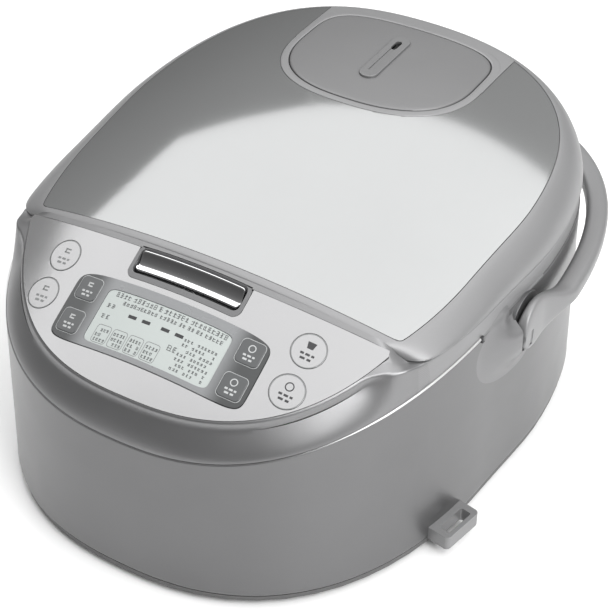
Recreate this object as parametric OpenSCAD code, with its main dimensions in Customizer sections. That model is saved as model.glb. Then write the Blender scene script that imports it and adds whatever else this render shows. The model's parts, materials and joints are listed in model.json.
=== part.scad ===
// Rice cooker with a micro-computer control panel, a hinged lid and a folding bail handle.
// Millimetres. +X is the cooker's right side, +Y its back and +Z up; it stands on z = 0.
// Y positions inside the modules count from the body's widest section; placed() moves them.

/* [Body] */
// Width of the body across its widest section
body_w = 256; // [252:1:260]
// Depth from the widest section to the front
body_front = 164; // [160:1:168]
// Depth from the widest section to the back
body_rear = 155; // [153:1:157]
// How much wider the base is than the parting line
base_flare = 1.02; // [1.00:0.005:1.03]
// Extra half width that the sides gain behind the handle pivots
side_swell = 3.5; // [2.5:0.5:3.5]
// Wall of the moulded shells
wall = 2.4; // [2.0:0.1:2.6]
// Height of the rubber feet
foot_h = 3.5; // [3:0.5:4]

/* [Control panel] */
// Slope of the control panel, rise over run
panel_slope = 0.548; // [0.53:0.002:0.56]
// Where the panel meets the lid, in front of the widest section
seam_y = -87.6; // [-88:0.1:-87]
// Height of the top surface at that seam, on the middle line
seam_z = 145.5; // [145:0.1:146]
// Travel of the keys
key_travel = 0.6; // [0.4:0.1:0.8]
// Travel of the release button
button_travel = 3; // [2:0.5:3]

/* [Lid] */
// Underside of the lid's rim
lid_z = 125.4; // [125.2:0.1:125.6]
// Width of the rounded shoulder around the metal top panel
shoulder = 13; // [12:0.5:14]
// How far the lid reaches behind its hinge
lid_tail = 9.1; // [8.5:0.1:9.3]
// Radius of the lid's hinge barrel
barrel_r = 11.3; // [11:0.1:11.3]

/* [Cooking pot] */
// Centre of the pot behind the widest section
pot_y = 24; // [23.5:0.5:24.5]
// Outer radius of the pot's wall
pot_r = 92; // [88:1:92]
// Height of the pot's underside
pot_z = 36; // [36:0.5:38]
// Wall of the pot
pot_wall = 1.8; // [1.5:0.1:2.5]

/* [Handle] */
// Height of the handle's pivots
pivot_z = 98; // [97:0.5:99]
// Distance of the pivots behind the widest section
pivot_y = 8; // [7:0.5:9]
// Reach of the handle from its pivots
handle_reach = 182; // [180:1:184]
// Half width of the handle outside
handle_x = 146.4; // [146:0.2:148]

/* [Hidden] */
$fn = 48;
N = 72;
half_w = body_w / 2;
// Exponents that square off the front and the back of the outline
front_round = 2.4;
rear_round = 3.07;
front_y = -body_front * base_flare;
// Puts the middle of the whole depth, folded handle included, at y = 0
mid_y = -(front_y + pivot_y + handle_reach) / 2;
base_z = 6.5;
deck_z = 124.6;
deck_t = 2.6;
latch_z = 116;
opening_r = 98;
tilt = atan(panel_slope);
// Fall of the top surface towards the sides and along the lid
crown = 13.84e-4;
lid_rise = 0.206;
lid_fall = 5.31e-4;
seam_curve = 9.2 / pow(half_w, 2);
fascia_inset = 10;
film_t = 1.2;
hinge_y = 143.5;
hinge_z = 124;
hinge_half = 64;
pin_r = 2.5;
run_fit = 0.06;
pivot_r = 4;
eye_r = 14;
// Steam cap's pocket in the lid: middle, half width, half depths
cap_y = 97;
cap_half_w = 58;
cap_front = 51;
cap_rear = 40;
cap_rim = 5;
// Round keys and square keys: distance from the middle, then their two rows
round_x = 70.5;
round_rows = [-102.3, -121.6];
round_r = 9;
square_x = 46.5;
square_rows = [-115, -131];
square_s = 13;
board_drop = 14;
board_y = -118;
foot_spots = [[-84, -100], [84, -100], [-84, 96], [84, 96]];
screw_spots = [[-113.5, -50], [113.5, -50], [-117, 62], [117, 62]];
inlet_x = -40;
inlet_z = 37;

// ---- Outlines and surfaces ----
function spow(v, p) = sign(v) * pow(abs(v), p);
function smooth(a, b, v) = let (s = min(max((v - a) / (b - a), 0), 1)) s * s * (3 - 2 * s);
function swell(y) = 1 + side_swell / half_w * smooth(-25, 40, y);
// Radius of the outline in direction t, seen from the widest section's middle
function edge_r(t, inset = 0, flare = 1) =
  let (n = sin(t) < 0 ? front_round : rear_round,
       a = half_w * flare - inset,
       b = (sin(t) < 0 ? body_front : body_rear) * flare - inset)
  pow(pow(abs(cos(t)) / a, n) + pow(abs(sin(t)) / b, n), -1 / n);
function swelled(p) = [p[0] * swell(p[1]), p[1]];
function edge(inset = 0, flare = 1) =
  [for (i = [0:N - 1]) let (t = 360 * i / N) swelled(edge_r(t, inset, flare) * [cos(t), sin(t)])];
// Distance to the lid's seam in direction t
function seam_r(t, gap) =
  sin(t) > -0.2 ? 1e6 :
  let (d = -(seam_y + gap), k = seam_curve * pow(cos(t), 2))
  2 * d / (-sin(t) + sqrt(pow(sin(t), 2) + 4 * k * d));
// The lid's footprint: the body's outline behind the seam, with rounded front corners
function lid_edge(inset, gap) =
  [for (i = [0:N - 1]) let (t = 360 * i / N, p = 26,
    r = pow(pow(edge_r(t, inset), -p) + pow(seam_r(t, gap), -p), -1 / p))
    swelled(r * [cos(t), sin(t)])];
function front_share(i) =
  let (t = 360 * i / N, q = pow(seam_r(t, 0) / edge_r(t), 30)) 1 / (1 + q);
function seam_at(x) = seam_y + seam_curve * x * x;
function panel_top(x, y) = seam_z + panel_slope * (y - seam_y) - crown * x * x;
function lid_top(x, y) =
  let (d = y - seam_y) seam_z + lid_rise * d - lid_fall * d * d - crown * x * x;
function parting_z(y) = 114 - 1.1e-3 * pow(max(0, -15 - y), 2);
function lifted(points, z) = [for (p = points) [p[0], p[1], z]];
function oval(a, front, rear, n_front, n_rear, y0, count = 48) =
  [for (i = [0:count - 1]) let (t = 360 * i / count, n = sin(t) < 0 ? n_front : n_rear)
    [a * spow(cos(t), 2 / n), y0 + (sin(t) < 0 ? front : rear) * spow(sin(t), 2 / n)]];

// ---- Building helpers ----
module placed() translate([0, mid_y, 0]) children();
module mirrored() {
  children();
  mirror([1, 0, 0]) children();
}
function band(k, k2, n) =
  [for (i = [0:n - 1]) let (j = (i + 1) % n)
    each [[k * n + i, k2 * n + i, k2 * n + j], [k * n + i, k2 * n + j, k * n + j]]];
// A ring-shaped shell through closed rings: up its outer side, then down its inner side
module ring_loft(rings) {
  n = len(rings[0]);
  m = len(rings);
  polyhedron([for (r = rings) each r], [for (k = [0:m - 1]) each band(k, (k + 1) % m, n)]);
}
// A closed skin through rings from the bottom point out, up and in to the top point
module skin(rings, first, last) {
  n = len(rings[0]);
  m = len(rings);
  polyhedron([for (r = rings) each r, first, last],
    [for (i = [0:n - 1]) [m * n, i, (i + 1) % n],
     for (k = [0:m - 2]) each band(k, k + 1, n),
     for (i = [0:n - 1]) [m * n + 1, (m - 1) * n + (i + 1) % n, (m - 1) * n + i]]);
}
module prism(points, z0, z1) translate([0, 0, z0]) linear_extrude(z1 - z0) polygon(points);
module disc(r, z0, z1) translate([0, 0, z0]) cylinder(h = z1 - z0, r = r);
module ring(r0, r1, z0, z1) translate([0, 0, z0]) linear_extrude(z1 - z0) difference() {
  circle(r = r1);
  circle(r = r0);
}
module rod_x(r, x0, x1) translate([x0, 0, 0]) rotate([0, 90, 0]) cylinder(h = x1 - x0, r = r);
module block(lo, hi) translate(lo) cube(hi - lo);
module at_pot() translate([0, pot_y, 0]) children();
module at_hinge() translate([0, hinge_y, hinge_z]) children();
module at_pivot() translate([0, pivot_y, pivot_z]) children();
module rounded(w, d, r) {
  square([w - 2 * r, d], center = true);
  square([w, d - 2 * r], center = true);
  for (x = [-1, 1], y = [-1, 1])
    translate([x * (w / 2 - r), y * (d / 2 - r)]) circle(r = r);
}
// A layer that follows the control panel, between two depths below its surface
module panel_layer(top, bottom, half = 122) {
  steps = 24;
  xs = [for (i = [0:steps]) -half + 2 * half * i / steps];
  c = crown * cos(tilt);
  translate([0, seam_y, seam_z]) rotate([tilt, 0, 0]) rotate([90, 0, 0])
    translate([0, 0, -60]) linear_extrude(170)
    polygon([for (x = xs) [x, -c * x * x - top],
             for (i = [steps:-1:0]) [xs[i], -c * xs[i] * xs[i] - bottom]]);
}
// Stands on the panel at x, y with +Z along its outward normal
module on_panel(x, y)
  translate([x, y, panel_top(x, y)]) rotate([tilt, 0, 0])
  rotate([0, atan(2 * crown * x * cos(tilt)), 0]) children();
// The printed circuit board's own frame, parallel to the panel's middle line
module on_board() translate([0, board_y, panel_top(0, board_y)]) rotate([tilt, 0, 0])
  translate([0, 0, -board_drop]) children();
// Area in front of the seam, moved back by gap
module front_area(gap, z0, z1)
  prism([for (x = [-150:10:150]) [x, seam_at(x) + gap], [150, -200], [-150, -200]], z0, z1);

// ---- Body: shells ----
function casing_ring(inset, share) =
  let (flare = base_flare + (1 - base_flare) * share, e = edge(inset, flare))
  [for (i = [0:N - 1]) let (t = 360 * i / N, top = parting_z(edge_r(t) * sin(t)) - 0.4)
    [e[i][0], e[i][1], base_z + (top - base_z) * share]];

module outer_casing() color("silver") placed() difference() {
  union() {
    ring_loft([casing_ring(0, 0), casing_ring(0, 0.5), casing_ring(0, 1),
               casing_ring(wall, 1), casing_ring(wall, 0)]);
    for (s = screw_spots) translate(s) ring(1.55, 4.6, 12.2, 30);
    mirrored() at_pivot() rod_x(16, 127, 131.5);
    mirrored() translate([0, 0, 84]) linear_extrude(27)
      polygon([[126, -34], [127.9, -34], [138, -7], [138, 0], [127, 0]]);
  }
  mirrored() at_pivot() rod_x(eye_r + 0.6, 131.5, 150);
  mirrored() at_pivot() rod_x(pivot_r + run_fit, 110, 150);
  at_hinge() rod_x(barrel_r + 0.5, -hinge_half - 7.5, hinge_half + 7.5);
  translate([inlet_x, 150, inlet_z]) cube([28.2, 20, 22.2], center = true);
}

module base_plate() color("dimgray") placed() difference() {
  union() {
    prism(edge(0.8, base_flare), foot_h, base_z);
    difference() {
      prism(edge(wall + 0.3, base_flare), base_z, 11.5);
      prism(edge(wall + 2.3, base_flare), base_z, 12.5);
    }
    for (s = screw_spots) translate(s) disc(4.6, base_z, 12);
    for (x = [-46, 46], y = [-140, -104]) translate([x, y, 0]) disc(3, base_z, 16);
  }
  for (s = screw_spots) translate(s) {
    disc(1.8, 0, 15);
    disc(3.6, 0, foot_h + 2.2);
  }
  for (i = [-5:5]) translate([12 * i, pot_y, 0]) linear_extrude(14) rounded(4, 60, 1.9);
}

module rubber_feet() color("#303030") placed()
  for (s = foot_spots) translate(s) disc(10, 0, foot_h);

module base_screws() color("gainsboro") placed() for (s = screw_spots) translate(s) {
  disc(3.3, foot_h + 0.2, foot_h + 2.2);
  disc(1.5, foot_h + 2.2, 24);
}

// The frame's wall leans inwards in front, where it carries the control panel
function frame_ring(inset, f) =
  [for (i = [0:N - 1]) let (t = 360 * i / N, y0 = edge_r(t) * sin(t),
    lean = 5.5 - 3.5 * smooth(-105, -75, y0) - 2 * smooth(-60, -20, y0),
    p = swelled(edge_r(t, inset + lean * pow(f, 2.2)) * [cos(t), sin(t)]),
    low = parting_z(y0),
    top = min(panel_top(p[0], p[1]) + 0.6, deck_z + 4))
    [p[0], p[1], low + (top - low) * f]];
module frame_block(inset, drop)
  skin([[for (p = frame_ring(inset, 0)) p - [0, 0, drop]], frame_ring(inset, 0.35),
        frame_ring(inset, 0.7), frame_ring(inset, 1), lifted(edge(inset + 18), 175)],
       [0, 0, 95 - drop], [0, 0, 175]);
module behind_seam(gap, z0, z1)
  prism([for (x = [-150:10:150]) [x, seam_at(x) + gap], [150, 200], [-150, 200]], z0, z1);
module before_seam(gap, z0, z1)
  prism([for (x = [150:-10:-150]) [x, seam_at(x) + gap], [-150, -220], [150, -220]], z0, z1);

module upper_frame() color("gray") placed() difference() {
  intersection() {
    frame_block(0, 0);
    union() {
      intersection() {
        panel_layer(0, 90);
        before_seam(-0.4, 60, 180);
      }
      behind_seam(-1, 60, deck_z);
    }
  }
  intersection() {
    frame_block(wall + 0.3, 30);
    union() {
      intersection() {
        panel_layer(film_t + 2.4, 110);
        before_seam(-0.4 - wall, 50, 180);
      }
      behind_seam(-0.5 - wall, 50, deck_z - deck_t);
    }
  }
  intersection() {
    panel_layer(-2, film_t);
    prism(edge(fascia_inset), 60, 180);
    before_seam(-2.8, 60, 180);
  }
  at_pot() disc(opening_r, 100, 140);
  block([-hinge_half - 7.5, 131, 113], [hinge_half + 7.5, 160, 140]);
  block([-81, 140.5, 118.5], [81, 160, 140]);
  at_hinge() rod_x(barrel_r + 0.5, -hinge_half - 7.5, hinge_half + 7.5);
  intersection() {
    panel_layer(0, 12);
    prism(window_outline(1.5), 60, 180);
  }
  for (k = [0:3]) {
    key_space(k, true, 0.3);
    key_space(k, false, 0.3);
  }
  block([-31.6, -102.9, 100], [31.6, -89.1, 180]);
  block([-9, -84, 110], [9, -77.2, 130]);
}

// ---- Control panel ----
function bezel_outline(grow = 0) = oval(55.2 + grow, 16.8 + grow, 16 + grow, 9, 9, -123.3);
function window_outline(grow = 0) = oval(35 + grow, 12.8 + grow, 12.8 + grow, 9, 9, -124.6);
function key_at(k, is_round) =
  let (side = k % 2 == 0 ? -1 : 1, row = floor(k / 2))
  is_round ? [side * round_x, round_rows[row]] : [side * square_x, square_rows[row]];
module key_shape(is_round, grow = 0)
  if (is_round) circle(r = round_r + grow);
  else rounded(square_s + 2 * grow, square_s + 2 * grow, 2.5);
// The shaft that key k slides in
module key_space(k, is_round, grow) let (p = key_at(k, is_round))
  on_panel(p[0], p[1]) translate([0, 0, -6]) linear_extrude(12) key_shape(is_round, grow);
module key(k, is_round) color(is_round ? "whitesmoke" : "dimgray") placed()
  let (p = key_at(k, is_round)) on_panel(p[0], p[1]) {
    translate([0, 0, -2.6]) linear_extrude(is_round ? 2.6 : 3.5) key_shape(is_round, -0.25);
    disc(2, is_round ? -3.4 : -6.8, -2.6);
  }

module fascia_panel() color("whitesmoke") placed() difference() {
  intersection() {
    panel_layer(0, film_t);
    prism(edge(fascia_inset + 0.2), 60, 180);
    before_seam(-3, 60, 180);
  }
  prism(bezel_outline(), 60, 180);
  for (k = [0:3]) key_space(k, true, 0);
  block([-31.6, -102.9, 100], [31.6, -80, 180]);
}

module lcd_bezel() color("gray") placed() difference() {
  intersection() {
    panel_layer(-0.5, film_t);
    prism(bezel_outline(-0.1), 60, 180);
  }
  prism(window_outline(), 60, 180);
  for (k = [0:3]) key_space(k, false, 0);
}

module lcd_window() color("honeydew", 0.6) placed() intersection() {
  panel_layer(-0.2, 1);
  prism(window_outline(-0.1), 60, 180);
}

module lcd_module() color("lightgray") placed() on_board() translate([0, -7, 0]) {
  translate([0, 0, 6.4]) cube([70, 27, 3.2], center = true);
  for (x = [-32, 32]) translate([x, 0, 2.4]) cube([3, 24, 4.8], center = true);
}

module control_board() color("darkgreen") placed() on_board() difference() {
  translate([0, 0, -0.8]) cube([152, 42, 1.6], center = true);
  for (x = [-72, 72], y = [-8, 18]) translate([x, y, -3]) cylinder(h = 6, r = 1.6);
  translate([0, 19, 0]) cube([9, 16, 10], center = true);
}

// One switch on the board under every key, its button pointing up at the key's stem
module tact_switches() color("black") placed() for (k = [0:3], is_round = [true, false])
  let (p = key_at(k, is_round), y = (p[1] - board_y) / cos(tilt) - (is_round ? 0.9 : 0.4))
  on_board() translate([p[0] - sign(p[0]) * (is_round ? 0.8 : 1), y, 0]) {
    translate([0, 0, 1.3]) cube([6, 6, 2.6], center = true);
    disc(1.7, 2.6, 3.4);
  }

module button_pocket() color("#505050") placed() intersection() {
  difference() {
    block([-31.5, -102.8, 128], [31.5, -89.2, 160]);
    block([-30.3, -101.6, 129.4], [30.3, -89.9, 170]);
    translate([0, -96, 120]) cylinder(h = 12, r = 3.3);
  }
  panel_layer(0, 40);
}

module release_button() color("lightgray") placed() {
  intersection() {
    translate([0, -95.8, panel_top(0, -95.8) - 4.2]) rod_x(6, -28.6, 28.6);
    block([-28.6, -100.6, 132.6], [28.6, -91, 160]);
  }
  translate([0, -96, 0]) {
    disc(3, 126, 134);
    disc(1.5, latch_z + 4.6, 127);
  }
}

module button_spring() color("silver") placed() translate([0, -96, 0])
  for (i = [0:2]) translate([0, 0, 130 + 1.05 * i]) rotate_extrude()
    translate([4.6, 0]) circle(r = 0.45);

module latch_hook() color("silver") placed() {
  translate([0, -82, latch_z]) rod_x(2, -14, 14);
  block([-7, -80.2, latch_z - 2], [7, -78.2, 134]);
  block([-7, -78.3, 131.3], [7, -76.6, 134]);
  block([-7, -97.5, latch_z + 1.6], [7, -78.3, latch_z + 4.2]);
  block([-7, -83.6, latch_z - 1.8], [7, -80, latch_z + 3]);
}

module latch_bracket() color("gainsboro") placed() difference() {
  for (x = [-12.6, 11]) block([x, -86, latch_z - 4], [x + 1.6, -78, deck_z - deck_t]);
  translate([0, -82, latch_z]) rod_x(2 + run_fit, -20, 20);
}

// ---- Electrics ----
module power_board() color("olivedrab") placed()
  block([-52, -146, 16], [52, -98, 17.6]);

module power_components() color("#404850") placed() translate([0, 0, 17.6]) {
  translate([-34, -120, 12]) cube([30, 32, 24], center = true);
  translate([2, -112, 8]) cube([22, 18, 16], center = true);
  translate([34, -130, 0]) cylinder(h = 22, r = 8);
  translate([34, -109, 0]) cylinder(h = 14, r = 6);
  translate([4, -136, 6]) cube([28, 8, 12], center = true);
}

module heating_plate() color("lightgray") placed() at_pot() rotate_extrude()
  polygon([[17, 28], [82, 28], [82, 34], [79, pot_z - 0.3], [75, pot_z], [17, pot_z]]);

module heater_element() color("gray") placed() at_pot() {
  rotate_extrude() translate([58, 24]) circle(r = 4);
  for (x = [-9, 9]) translate([x, -58, 12]) cylinder(h = 9, r = 2.5);
}

module heater_posts() color("ivory") placed() at_pot()
  for (a = [30, 150, 270]) rotate(a) translate([74, 0, 0]) disc(5, 20, 28);

module inner_container() color("gainsboro") placed() at_pot() difference() {
  rotate_extrude() polygon([[20, 19], [92, 19], [98, 25], [98, 119], [100.5, 119],
    [100.5, 120], [97, 120], [97, 25.5], [91.5, 20], [20, 20]]);
  for (x = [-9, 9]) translate([x, -58, 15]) cylinder(h = 8, r = 4);
}

module side_heater() color("tan") placed() at_pot() ring(98, 99.4, 66, 92);
module insulation_wrap() color("ivory") placed() at_pot() ring(99.5, 103, 40, 104);

module thermal_fuse() color("white") placed() at_pot() translate([40, 40, 16]) {
  rod_x(3, -12, 12);
  translate([0, 0, 2.5]) cube([6, 8, 1], center = true);
}

module power_inlet() color("#303030") placed() translate([inlet_x, 0, inlet_z]) difference() {
  union() {
    block([-14, 130, -11], [14, 156, 11]);
    block([-16, 148.2, -13], [16, 150, 13]);
  }
  block([-10.5, 138, -7], [10.5, 158, 7]);
  for (x = [-6, 0, 6]) translate([x, 128, 0]) rotate([-90, 0, 0]) cylinder(h = 14, r = 1.5);
}

module inlet_pins() color("gold") placed() translate([inlet_x, 0, inlet_z])
  for (x = [-6, 0, 6]) translate([x, 124, 0]) rotate([-90, 0, 0]) cylinder(h = 28, r = 1.5);

// Insulated wires from the inlet, round the container, to the power board
wire_route = [[0, 122.1, -0.4], [0, 119, -14], [-20, 104, -24], [-62, 62, -24], [-66, -20, -24],
  [-30, -78, -24], [-2, -90, -24], [0, -94, -17.4], [4, -103, -17.4]];
module wiring() color("firebrick") placed() translate([inlet_x, 0, inlet_z])
  for (x = [-6, 6], i = [0:len(wire_route) - 2])
    let (a = wire_route[i] + [x, 0, 0], b = wire_route[i + 1] + [x, 0, 0], d = b - a) {
      translate(a) rotate([0, acos(d[2] / norm(d)), atan2(d[1], d[0])])
        translate([0, 0, -0.8]) cylinder(h = norm(d) + 1.6, r = 1.6, $fn = 8);
    }

module sensor_guide() color("gainsboro") placed() at_pot() difference() {
  union() {
    ring(11, 12.4, 17.5, 27);
    ring(6.3, 12.4, 16.3, 17.5);
    ring(12.3, 24, 18, 19);
  }
}

module sensor_cap() color("silver") placed() at_pot() {
  disc(15, 33, pot_z);
  disc(6, 11, 33);
  ring(5.9, 8, 14.7, 16.1);
}

module sensor_spring() color("silver") placed() at_pot()
  for (i = [0:6]) translate([0, 0, 18.6 + 2.25 * i]) rotate_extrude()
    translate([8.6, 0]) circle(r = 0.8);

module inner_pot() color("#55585c") placed() at_pot() rotate_extrude()
  polygon([[0, pot_z], [pot_r - 16, pot_z], [pot_r - 8, pot_z + 2], [pot_r - 2, pot_z + 8],
    [pot_r, pot_z + 18], [pot_r, 121.4], [96.5, 121.4], [96.5, 122.6],
    [pot_r - pot_wall, 122.6], [pot_r - pot_wall, pot_z + 18.6],
    [pot_r - 3.6, pot_z + 9.4], [pot_r - 9.2, pot_z + 3.8], [pot_r - 16.4, pot_z + pot_wall],
    [0, pot_z + pot_wall]]);

// ---- Hinge, handle and spoon bracket ----
module hinge_bracket() color("gainsboro") placed() difference() {
  union() {
    block([-hinge_half - 4, 134, 108], [hinge_half + 4, 145, 110]);
    block([-60, 134, 109], [60, 136, 114]);
    mirrored() {
      block([hinge_half + 1.5, 139.5, 109], [hinge_half + 4, 145, hinge_z]);
      at_hinge() rod_x(4.4, hinge_half + 1.5, hinge_half + 4);
    }
    block([-60, 126, 120], [60, 130.5, 122]);
    block([-60, 128.5, 108], [60, 130.5, 121]);
    block([-60, 129, 108], [60, 135, 110]);
  }
  at_hinge() rod_x(pin_r, -90, 90);
}

module hinge_pin() color("silver") placed() at_hinge() {
  rod_x(pin_r, -hinge_half - 5, hinge_half + 5);
  rod_x(3.6, hinge_half + 4.2, hinge_half + 6.2);
}

module hinge_spring() color("dimgray") placed() at_hinge() {
  for (i = [-7:7]) translate([2 * i, 0, 0]) rotate([0, 90, 0]) rotate_extrude()
    translate([5.2, 0]) circle(r = 0.95);
  translate([14.95, 5.2, -13.9]) cylinder(h = 13.9, r = 0.95);
}

module hinge_cover() color("gray") placed() at_hinge() difference() {
  union() {
    rod_x(barrel_r, -20.5, 20.5);
    block([-18, -4, -14], [18, 6, 0]);
  }
  rod_x(9.6, -19, 19);
  rod_x(pin_r + 0.2, -21, 21);
  block([10, 3, -20], [17, 8, -5]);
}

module handle_pivots() color("silver") placed() mirrored() at_pivot() {
  rod_x(pivot_r, 124.6, 138.4);
  rod_x(8, 124.6, 127);
}

// Half width and centre of the handle's strap, which thins down at its pivots
function strap_w(y) = 7 + 5 * smooth(2, 26, y);
function strap_out(y) = handle_x - 7.6 * (1 - smooth(2, 26, y));
function bail_path(t) =
  [spow(cos(t), 2 / 2.6), spow(sin(t), 2 / 2.6)];
strap_steps = 36;
strap_h = 10;
module handle_bail() color("gray") placed() translate([0, pivot_y, pivot_z]) difference() {
  union() {
    bail_strap();
    mirrored() rod_x(eye_r, 132, 138.8);
  }
  mirrored() rod_x(pivot_r + run_fit, 120, 150);
}
function corner_ring(r, w, h) =
  [for (c = [[1, 1], [-1, 1], [-1, -1], [1, -1]], a = [15, 75])
    let (q = c[0] * c[1] > 0 ? a : 90 - a)
    [c[0] * (w / 2 - r + r * cos(q)), c[1] * (h / 2 - r + r * sin(q))]];
module bail_strap() {
  rings = [for (i = [0:strap_steps]) let (t = 180 * i / strap_steps, p = bail_path(t),
    outer = [handle_x * p[0], handle_reach * p[1]],
    w = strap_w(outer[1]), mid_x = (strap_out(outer[1]) - w / 2) / handle_x,
    reach = (handle_reach - w / 2) / handle_reach,
    s = max(mid_x, reach), c = [outer[0] * mid_x, outer[1] * reach],
    n = unit([spow(p[0], 1.6) / handle_x, spow(p[1], 1.6) / handle_reach]))
    [for (q = corner_ring(3, w, strap_h)) [c[0] + n[0] * q[0], c[1] + n[1] * q[0], q[1]]]];
  n = len(rings[0]);
  m = len(rings);
  polyhedron([for (r = rings) each r],
    [[for (i = [n - 1:-1:0]) i], for (k = [0:m - 2]) each band(k, k + 1, n),
     [for (i = [0:n - 1]) (m - 1) * n + i]]);
}
function unit(v) = v / norm(v);

// A moulded loop low on the right side that takes a spoon holder
module spoon_bracket() color("gray") placed() difference() {
  translate([126.1, -58.5, 6]) rotate(-10.7) linear_extrude(8.3) difference() {
    translate([4.5, 0]) rounded(15, 26, 2.5);
    translate([6.4, 0]) rounded(6.2, 18, 1.2);
  }
  prism(edge(-0.02, base_flare), 0, 30);
}

// ---- Lid ----
function shoulder_rise(u) = sqrt(1 - pow(1 - u, 2));
// A ring of the lid: inset from the edge, raised towards the top surface by rise
function lid_ring(inset, gap, rise, drop) =
  let (e = lid_edge(inset, gap))
  [for (i = [0:N - 1]) let (p = e[i], f = rise + (1 - rise) * front_share(i))
    [p[0], p[1], lid_z + (lid_top(p[0], p[1]) - drop - lid_z) * f]];
function lid_inner(s, inset, gap, drop) =
  [for (p = lid_edge(inset, gap)) let (q = [0, 20] + s * (p - [0, 20]))
    [q[0], q[1], lid_top(q[0], q[1]) - drop]];
seat = 1;

function lid_face(drop, inset = shoulder, gap = 4.4) =
  [for (s = [1, 0.65, 0.3]) lid_inner(s, inset, gap, drop)];
function lid_peak(drop) = [0, 20, lid_top(0, 20) - drop];
function turned(rings) = [for (i = [len(rings) - 1:-1:0]) rings[i]];
module beyond(y) block([-140, y, 90], [140, 180, 190]);
// Where the metal sheet lies: in front of and beside the steam cap, not behind it
module sheet_space(gap, low, high) difference() {
  skin([each turned(lid_face(low, shoulder + gap, 4.4 + gap)),
        each lid_face(high, shoulder + gap, 4.4 + gap)], lid_peak(low), lid_peak(high));
  block([-59 - gap, cap_y, 120], [59 + gap, 190, 180]);
}

module lid_cover() color("gray") placed() {
  difference() {
    skin([lifted(lid_edge(0, 0.4), lid_z),
          for (u = [0.02, 0.12, 0.35, 0.65, 1])
            lid_ring(u * shoulder, 0.4 + 4 * u, shoulder_rise(u), 0),
          each lid_face(0)],
         [0, 20, lid_z], lid_peak(0));
    beyond(hinge_y + lid_tail);
    difference() {
      skin([lifted(lid_edge(wall, 0.4 + wall), lid_z - 3),
            for (u = [0.02, 0.3, 1])
              lid_ring(wall + u * (shoulder - wall), 0.4 + wall + 2 * u, shoulder_rise(u),
                       wall + seat),
            each lid_face(wall + seat)],
           [0, 20, lid_z - 3], lid_peak(wall + seat));
      beyond(hinge_y + lid_tail - wall);
    }
    sheet_space(0, seat, -3);
    prism(cap_outline(1), 120, 180);
    ring_loft([on_lid(cap_outline(cap_rim), seat), on_lid(cap_outline(cap_rim), -3),
               on_lid(cap_outline(0.5), -3), on_lid(cap_outline(0.5), seat)]);
    at_hinge() rod_x(barrel_r + 0.35, -hinge_half - 0.3, hinge_half + 0.3);
    mirrored() at_hinge() rod_x(13, hinge_half, hinge_half + 7.5);
  }
  for (x = [-104, 104], y = [-40, 60]) translate([x, y, 0])
    ring(1.55, 4, lid_z + 2, lid_top(x, y) - 2);
}

// The steam cap's outline, moved outwards by grow
function cap_outline(grow = 0, count = 48) =
  oval(cap_half_w - cap_rim + grow, cap_front - cap_rim + grow, cap_rear - cap_rim + grow,
       2.3, 5, cap_y, count);
function on_lid(points, drop) = [for (p = points) [p[0], p[1], lid_top(p[0], p[1]) - drop]];

module lid_panel() color("lightgray") placed() difference() {
  sheet_space(0.3, seat - 0.02, 0.05);
  prism(cap_outline(cap_rim), 120, 180);
}

module steam_socket() color("gray") placed() difference() {
  union() {
    ring_loft([on_lid(cap_outline(cap_rim - 0.2), 0.98), on_lid(cap_outline(cap_rim - 0.2), 0),
               on_lid(cap_outline(0.4), 0), on_lid(cap_outline(0.4), 0.98)]);
    ring_loft([lifted(cap_outline(0.9), 136.5), on_lid(cap_outline(0.9), 0.5),
               on_lid(cap_outline(0.3), 0.5), on_lid(cap_outline(0.3), 4),
               on_lid(cap_outline(-1), 4), lifted(cap_outline(-1), 136.5)]);
    prism(cap_outline(0.9), 136, 137.5);
  }
  translate([0, cap_y, 0]) disc(12, 120, 150);
}

cap_middle = [for (p = cap_outline(0)) [0, cap_y] + 0.55 * (p - [0, cap_y])];
module steam_cap() color("darkgray") placed() difference() {
  union() {
    skin([on_lid(cap_middle, 3), on_lid(cap_outline(0), 3), on_lid(cap_outline(0), 0.5),
          on_lid(cap_outline(-1), -0.3), on_lid(cap_middle, -0.3)],
         [0, cap_y, lid_top(0, cap_y) - 3], [0, cap_y, lid_top(0, cap_y) + 0.3]);
    translate([0, 95, 160]) linear_extrude(7.2) rounded(11, 46, 5.4);
    translate([0, cap_y, 0]) ring(24, 26, 150, 163.6);
  }
  translate([0, 108, 150]) linear_extrude(30) rounded(4, 9, 1.9);
}

module steam_cup() color("white") placed() translate([0, cap_y, 0]) difference() {
  union() {
    disc(24, 140, 160);
    disc(11.6, 129.4, 140.5);
  }
  disc(22, 142, 161);
  disc(8.6, 120, 145);
}

module steam_gasket() color("white") placed() translate([0, cap_y, 0])
  ring(11.6, 16, 137.5, 140);

module lid_liner() color("#404040") placed() difference() {
  union() {
    difference() {
      union() {
        prism(lid_edge(wall + 5, 2 + wall), lid_z, lid_z + 0.9);
        difference() {
          prism(lid_edge(wall + 12, 4 + wall), lid_z, lid_z + 2);
          block([-140, -140, 120], [140, -70, 140]);
        }
      }
      at_pot() disc(97.4, 120, 126.7);
      at_pot() disc(92, 120, 130);
    }
    at_pot() rotate_extrude() polygon([[0, 131], [87, 131], [87, 126.8], [97.5, 126.8],
      [97.5, 128.4], [88.6, 128.4], [88.6, 132.6], [0, 132.6]]);
  }
  translate([0, cap_y, 0]) disc(11.9, 120, 140);
  block([-10.5, -84.3, 120], [10.5, -77, 135]);
  at_pot() disc(5.1, 125, 140);
  beyond(hinge_y - 13);
  for (x = [-104, 104], y = [-40, 60]) translate([x, y, 0]) {
    disc(1.6, 120, 130);
    disc(3.1, 120, lid_z + 1.2);
  }
}

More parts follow.
